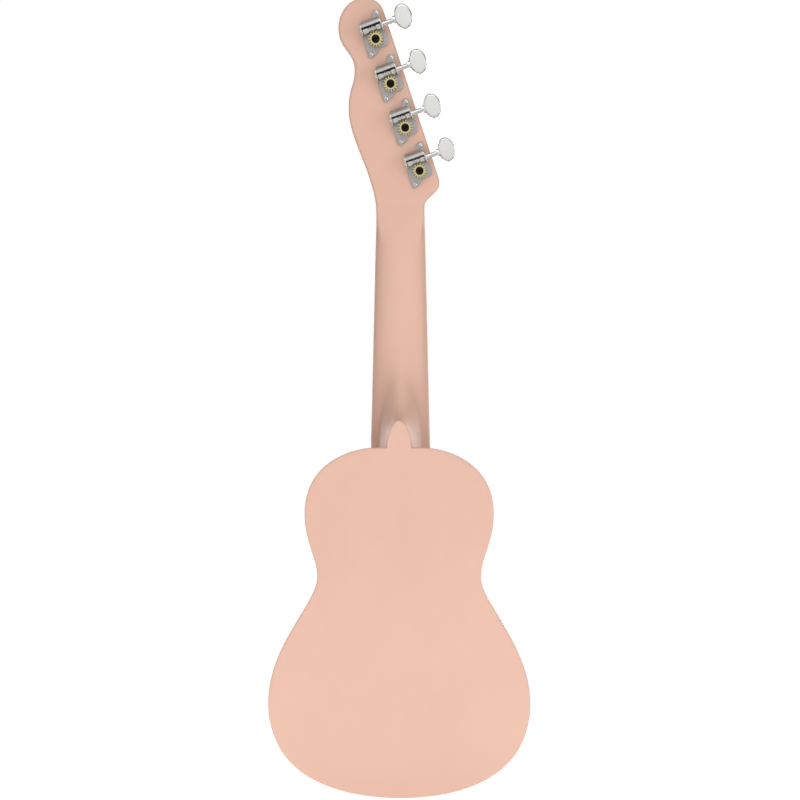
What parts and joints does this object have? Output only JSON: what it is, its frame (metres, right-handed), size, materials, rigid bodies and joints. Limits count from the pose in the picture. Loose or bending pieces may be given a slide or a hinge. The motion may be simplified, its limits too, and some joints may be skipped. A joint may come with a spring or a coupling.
{
  "type": "soprano ukulele",
  "caption": "Small waisted ukulele with a solid one-sided head, open-geared tuners on its back, a round soundhole, fretted neck and slotted bridge.",
  "frame": {"origin": "on the centre line where the strings leave the nut towards the frets, in the plane of the soundboard's outer face, which is also the fingerboard's glue face", "axes": "+Z along the neck to the head's tip, +Y to the back of the body, +X to the first-string (a) side; the strings are in front, towards -Y"},
  "size_m": [0.1758, 0.0702, 0.5461],
  "materials": {
    "body_paint": "satin pale pink paint over wood",
    "block_wood": "bare sanded hardwood",
    "brace_wood": "bare sanded softwood",
    "dark_wood": "oiled open-grain dark hardwood",
    "bone": "polished bone white",
    "nylon": "clear-white nylon",
    "fret_wire": "polished nickel silver",
    "nickel": "tumbled nickel plate",
    "chrome": "polished plate",
    "brass": "cut brass",
    "dark_steel": "blackened steel"
  },
  "bodies": {
    "root": {"soundboard": "body_paint", "back_plate": "body_paint", "treble_side": "body_paint", "bass_side": "body_paint", "neck_block": "block_wood", "tail_block": "block_wood", "upper_top_brace": "brace_wood", "lower_top_brace": "brace_wood", "upper_back_brace": "brace_wood", "lower_back_brace": "brace_wood", "bridge_plate": "brace_wood", "bridge": "dark_wood", "saddle": "bone", "neck": "body_paint", "fingerboard": "dark_wood", "nut": "bone", "fret_1": "fret_wire", "fret_2": "fret_wire", "fret_3": "fret_wire", "fret_4": "fret_wire", "fret_5": "fret_wire", "fret_6": "fret_wire", "fret_7": "fret_wire", "fret_8": "fret_wire", "fret_9": "fret_wire", "fret_10": "fret_wire", "fret_11": "fret_wire", "fret_12": "fret_wire", "g_string": "nylon", "c_string": "nylon", "e_string": "nylon", "a_string": "nylon", "g_tuner_plate": "nickel", "g_post_ferrule": "nickel", "c_tuner_plate": "nickel", "c_post_ferrule": "nickel", "e_tuner_plate": "nickel", "e_post_ferrule": "nickel", "a_tuner_plate": "nickel", "a_post_ferrule": "nickel"},
    "g_button": {"g_worm_shaft": "nickel", "g_tuner_button": "chrome"},
    "g_post": {"g_string_post": "nickel", "g_worm_gear": "brass", "g_gear_screw": "dark_steel"},
    "c_button": {"c_worm_shaft": "nickel", "c_tuner_button": "chrome"},
    "c_post": {"c_string_post": "nickel", "c_worm_gear": "brass", "c_gear_screw": "dark_steel"},
    "e_button": {"e_worm_shaft": "nickel", "e_tuner_button": "chrome"},
    "e_post": {"e_string_post": "nickel", "e_worm_gear": "brass", "e_gear_screw": "dark_steel"},
    "a_button": {"a_worm_shaft": "nickel", "a_tuner_button": "chrome"},
    "a_post": {"a_string_post": "nickel", "a_worm_gear": "brass", "a_gear_screw": "dark_steel"}
  },
  "joints": [
    {"name": "g_button_turn", "type": "hinge", "parent": "root", "child": "g_button", "pos_m": [-0.01142, 0.02344, 0.02997], "axis": [-0.9455, 0.0788, 0.3159], "continuous": true},
    {"name": "g_post_turn", "type": "hinge", "parent": "root", "child": "g_post", "pos_m": [-0.0138, 0.01721, 0.02441], "axis": [0, 0.9703, -0.2419], "continuous": true},
    {"name": "c_button_turn", "type": "hinge", "parent": "root", "child": "c_button", "pos_m": [-0.0014, 0.03048, 0.05823], "axis": [-0.9455, 0.0788, 0.3159], "continuous": true},
    {"name": "c_post_turn", "type": "hinge", "parent": "root", "child": "c_post", "pos_m": [-0.00377, 0.02425, 0.05267], "axis": [0, 0.9703, -0.2419], "continuous": true},
    {"name": "e_button_turn", "type": "hinge", "parent": "root", "child": "e_button", "pos_m": [0.00863, 0.03753, 0.08649], "axis": [-0.9455, 0.0788, 0.3159], "continuous": true},
    {"name": "e_post_turn", "type": "hinge", "parent": "root", "child": "e_post", "pos_m": [0.00626, 0.0313, 0.08093], "axis": [0, 0.9703, -0.2419], "continuous": true},
    {"name": "a_button_turn", "type": "hinge", "parent": "root", "child": "a_button", "pos_m": [0.01866, 0.04457, 0.11474], "axis": [-0.9455, 0.0788, 0.3159], "continuous": true},
    {"name": "a_post_turn", "type": "hinge", "parent": "root", "child": "a_post", "pos_m": [0.01628, 0.03834, 0.10918], "axis": [0, 0.9703, -0.2419], "continuous": true}
  ],
  "couplings": [
    {"joint": "g_post_turn", "follows": "g_button_turn", "ratio": 0.066667},
    {"joint": "c_post_turn", "follows": "c_button_turn", "ratio": 0.066667},
    {"joint": "e_post_turn", "follows": "e_button_turn", "ratio": 0.066667},
    {"joint": "a_post_turn", "follows": "a_button_turn", "ratio": 0.066667}
  ]
}
